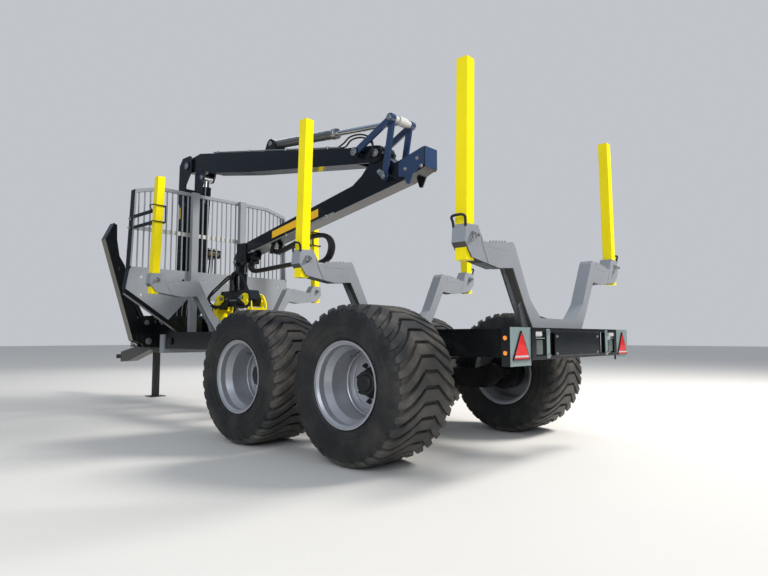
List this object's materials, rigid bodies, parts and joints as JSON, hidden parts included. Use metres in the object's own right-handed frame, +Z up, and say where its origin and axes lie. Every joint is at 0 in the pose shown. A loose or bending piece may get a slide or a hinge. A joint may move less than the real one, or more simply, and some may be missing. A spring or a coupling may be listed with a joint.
{
  "type": "forestry trailer with crane",
  "caption": "Forestry trailer with a folded loading crane and grapple, walking bogies, log bunks with stakes, barred headboard, steering drawbar, jack and raised stabiliser legs",
  "frame": {"origin": "on the ground, under the middle of the whole length and width", "axes": "X forward to the tow eye, Y to the trailer's left, Z up"},
  "size_m": [7.64, 2.635, 3.33],
  "materials": {
    "frame_black": "glossy black paint, dusty",
    "crane_black": "glossy black paint",
    "bunk_grey": "light grey paint, rubbed and muddy where logs lie",
    "stake_yellow": "bright yellow paint, rubbed",
    "leg_grey": "light grey paint",
    "rim_silver": "silver paint under dry mud",
    "tyre_rubber": "dusty black rubber",
    "chrome_rod": "polished",
    "zinc": "zinc plated",
    "cast_black": "black, worn bright at the bore",
    "reflector_red": "ribbed red reflector"
  },
  "bodies": {
    "chassis": {"frame_beam_left": "frame_black", "frame_beam_right": "frame_black", "frame_cross_members": "frame_black", "rear_bar": "frame_black", "lamp_plates": "frame_black", "rear_reflectors": "reflector_red", "bogie_beam_left": "frame_black", "bogie_beam_right": "frame_black", "bogie_hangers": "frame_black", "bogie_shaft": "zinc", "headboard_plates": "bunk_grey", "headboard_arms": "frame_black", "headboard_grille": "bunk_grey", "stake_ties": "frame_black", "front_crossbeam": "bunk_grey", "crane_base": "frame_black", "front_beam": "frame_black", "oil_tank": "frame_black", "valve_block": "frame_black", "bunk_front": "bunk_grey", "bunk_middle": "bunk_grey", "bunk_rear": "bunk_grey", "stakes": "stake_yellow"},
    "towing_frame": {"drawbar": "frame_black", "tow_eye": "cast_black"},
    "jack": {"jack_leg": "zinc"},
    "crane_pillar": {"pillar": "crane_black"},
    "boom": {"main_boom": "crane_black"},
    "lift_cylinder": {"lift_barrel": "crane_black"},
    "lift_piston": {"lift_rod": "chrome_rod"},
    "jib_cylinder": {"jib_barrel": "crane_black"},
    "jib_piston": {"jib_rod": "chrome_rod"},
    "outer_links": {"link_boom": "zinc"},
    "inner_links": {"link_jib": "zinc"},
    "jib_arm": {"jib": "crane_black"},
    "extension": {"jib_extension": "crane_black"},
    "hanger": {"rotator": "crane_black"},
    "grapple": {"grapple_frame": "crane_black"},
    "front_claw": {"claw_front": "stake_yellow"},
    "rear_claw": {"claw_rear": "stake_yellow"},
    "wheel_rear_left": {"tyre_rear_left": "tyre_rubber", "rim_rear_left": "rim_silver"},
    "wheel_rear_right": {"tyre_rear_right": "tyre_rubber", "rim_rear_right": "rim_silver"},
    "wheel_front_left": {"tyre_front_left": "tyre_rubber", "rim_front_left": "rim_silver"},
    "wheel_front_right": {"tyre_front_right": "tyre_rubber", "rim_front_right": "rim_silver"},
    "steering_cylinder_left": {"steering_barrel_left": "crane_black"},
    "steering_piston_left": {"steering_rod_left": "chrome_rod"},
    "steering_cylinder_right": {"steering_barrel_right": "crane_black"},
    "steering_piston_right": {"steering_rod_right": "chrome_rod"},
    "stabiliser_left": {"stabiliser_leg_left": "leg_grey"},
    "stabiliser_cylinder_left": {"stabiliser_barrel_left": "crane_black"},
    "stabiliser_piston_left": {"stabiliser_rod_left": "chrome_rod"},
    "stabiliser_right": {"stabiliser_leg_right": "leg_grey"},
    "stabiliser_cylinder_right": {"stabiliser_barrel_right": "crane_black"},
    "stabiliser_piston_right": {"stabiliser_rod_right": "chrome_rod"}
  },
  "joints": [
    {"name": "roll_rear_left", "type": "hinge", "parent": "chassis", "child": "wheel_rear_left", "pos_m": [-2.7275, 1.0225, 0.556], "axis": [0, 1, 0], "continuous": true},
    {"name": "roll_rear_right", "type": "hinge", "parent": "chassis", "child": "wheel_rear_right", "pos_m": [-2.7275, -1.0225, 0.556], "axis": [0, 1, 0], "continuous": true},
    {"name": "roll_front_left", "type": "hinge", "parent": "chassis", "child": "wheel_front_left", "pos_m": [-1.4575, 1.0225, 0.556], "axis": [0, 1, 0], "continuous": true},
    {"name": "roll_front_right", "type": "hinge", "parent": "chassis", "child": "wheel_front_right", "pos_m": [-1.4575, -1.0225, 0.556], "axis": [0, 1, 0], "continuous": true},
    {"name": "steer", "type": "hinge", "parent": "chassis", "child": "towing_frame", "pos_m": [2.5, 0, 0.795], "axis": [0, 0, 1], "range_deg": [-35, 35]},
    {"name": "jack_lift", "type": "slide", "parent": "towing_frame", "child": "jack", "axis": [0, 0, 1], "range_m": [0, 0.5]},
    {"name": "steering_swing_left", "type": "hinge", "parent": "chassis", "child": "steering_cylinder_left", "pos_m": [2.01, 0.29, 0.795], "axis": [0, 0, 1], "range_deg": [-11.83, 11.83]},
    {"name": "steering_stroke_left", "type": "slide", "parent": "steering_cylinder_left", "child": "steering_piston_left", "axis": [0.9992, -0.04, 0], "range_m": [-0.16485, 0.16485]},
    {"name": "steering_swing_right", "type": "hinge", "parent": "chassis", "child": "steering_cylinder_right", "pos_m": [2.01, -0.29, 0.795], "axis": [0, 0, 1], "range_deg": [-11.83, 11.83]},
    {"name": "steering_stroke_right", "type": "slide", "parent": "steering_cylinder_right", "child": "steering_piston_right", "axis": [0.9992, 0.04, 0], "range_m": [-0.16485, 0.16485]},
    {"name": "slew", "type": "hinge", "parent": "chassis", "child": "crane_pillar", "pos_m": [1.722, 0, 1.24], "axis": [0, 0, 1], "range_deg": [0, 8]},
    {"name": "lift", "type": "hinge", "parent": "crane_pillar", "child": "boom", "pos_m": [1.59, 0, 3.2], "axis": [0, 1, 0], "range_deg": [0, 72]},
    {"name": "lift_swing", "type": "hinge", "parent": "crane_pillar", "child": "lift_cylinder", "pos_m": [1.43, 0, 1.48], "axis": [0, 1, 0], "range_deg": [0, 1.08]},
    {"name": "lift_stroke", "type": "slide", "parent": "lift_cylinder", "child": "lift_piston", "axis": [-0.0917, 0, 0.9958], "range_m": [0, 0.42296]},
    {"name": "elbow", "type": "hinge", "parent": "boom", "child": "jib_arm", "pos_m": [-1.908, 0, 2.626], "axis": [0, 1, 0], "range_deg": [0, 40.1]},
    {"name": "telescope", "type": "slide", "parent": "jib_arm", "child": "extension", "axis": [0.9817, 0, -0.1906], "range_m": [0, 0.902]},
    {"name": "jib_swing", "type": "hinge", "parent": "boom", "child": "jib_cylinder", "pos_m": [-0.197, 0, 3.119], "axis": [0, 1, 0], "range_deg": [0, 4.2]},
    {"name": "jib_stroke", "type": "slide", "parent": "jib_cylinder", "child": "jib_piston", "axis": [-0.9937, 0, -0.1119], "range_m": [-0.10921, 0]},
    {"name": "outer_link_turn", "type": "hinge", "parent": "boom", "child": "outer_links", "pos_m": [-1.674, 0, 2.674], "axis": [0, 1, 0], "range_deg": [0, 19.14]},
    {"name": "inner_link_turn", "type": "hinge", "parent": "jib_arm", "child": "inner_links", "pos_m": [-2.043, 0, 2.373], "axis": [0, 1, 0], "range_deg": [-15.64, 0]},
    {"name": "hang", "type": "hinge", "parent": "extension", "child": "hanger", "pos_m": [0.472, 0, 1.79], "axis": [0, 1, 0], "range_deg": [-112.1, 0]},
    {"name": "rotate", "type": "hinge", "parent": "hanger", "child": "grapple", "pos_m": [0.472, 0, 1.52], "axis": [0, 0, 1], "continuous": true},
    {"name": "claw_open_front", "type": "hinge", "parent": "grapple", "child": "front_claw", "pos_m": [0.692, 0, 1.35], "axis": [0, -1, 0], "range_deg": [-45, 60]},
    {"name": "claw_open_rear", "type": "hinge", "parent": "grapple", "child": "rear_claw", "pos_m": [0.252, 0, 1.35], "axis": [0, 1, 0], "range_deg": [-45.5, 60.5]},
    {"name": "stabiliser_left_lower", "type": "hinge", "parent": "chassis", "child": "stabiliser_left", "pos_m": [1.872, 0.5, 0.828], "axis": [-1, 0, 0], "range_deg": [0, 101]},
    {"name": "stabiliser_swing_left", "type": "hinge", "parent": "chassis", "child": "stabiliser_cylinder_left", "pos_m": [1.872, 0.531, 1.069], "axis": [-1, 0, 0], "range_deg": [0, 107.92]},
    {"name": "stabiliser_stroke_left", "type": "slide", "parent": "stabiliser_cylinder_left", "child": "stabiliser_piston_left", "axis": [0, 0.4587, 0.8886], "range_m": [0, 0.36245]},
    {"name": "stabiliser_right_lower", "type": "hinge", "parent": "chassis", "child": "stabiliser_right", "pos_m": [1.872, -0.5, 0.828], "axis": [1, 0, 0], "range_deg": [0, 101]},
    {"name": "stabiliser_swing_right", "type": "hinge", "parent": "chassis", "child": "stabiliser_cylinder_right", "pos_m": [1.872, -0.531, 1.069], "axis": [1, 0, 0], "range_deg": [0, 107.92]},
    {"name": "stabiliser_stroke_right", "type": "slide", "parent": "stabiliser_cylinder_right", "child": "stabiliser_piston_right", "axis": [0, -0.4587, 0.8886], "range_m": [0, 0.36245]}
  ],
  "couplings": [
    {"joint": "steering_swing_left", "follows": "steer", "ratio": 0.32368},
    {"joint": "steering_stroke_left", "follows": "steer", "m_per_rad": -0.26659},
    {"joint": "steering_swing_right", "follows": "steer", "ratio": 0.32368},
    {"joint": "steering_stroke_right", "follows": "steer", "m_per_rad": 0.26659},
    {"joint": "lift_swing", "follows": "lift", "ratio": 0.008},
    {"joint": "lift_stroke", "follows": "lift", "m_per_rad": 0.33499},
    {"joint": "elbow", "follows": "lift", "ratio": 0.55},
    {"joint": "telescope", "follows": "lift", "m_per_rad": 0.7162},
    {"joint": "jib_swing", "follows": "lift", "ratio": 0.054139},
    {"joint": "jib_stroke", "follows": "lift", "m_per_rad": -0.085315},
    {"joint": "outer_link_turn", "follows": "lift", "ratio": 0.25886},
    {"joint": "inner_link_turn", "follows": "lift", "ratio": -0.21028},
    {"joint": "hang", "follows": "lift", "ratio": -1.55},
    {"joint": "claw_open_rear", "follows": "claw_open_front", "ratio": 1},
    {"joint": "stabiliser_swing_left", "follows": "stabiliser_left_lower", "ratio": 1.0635},
    {"joint": "stabiliser_stroke_left", "follows": "stabiliser_left_lower", "m_per_rad": 0.20448},
    {"joint": "stabiliser_swing_right", "follows": "stabiliser_right_lower", "ratio": 1.0635},
    {"joint": "stabiliser_stroke_right", "follows": "stabiliser_right_lower", "m_per_rad": 0.20448}
  ]
}
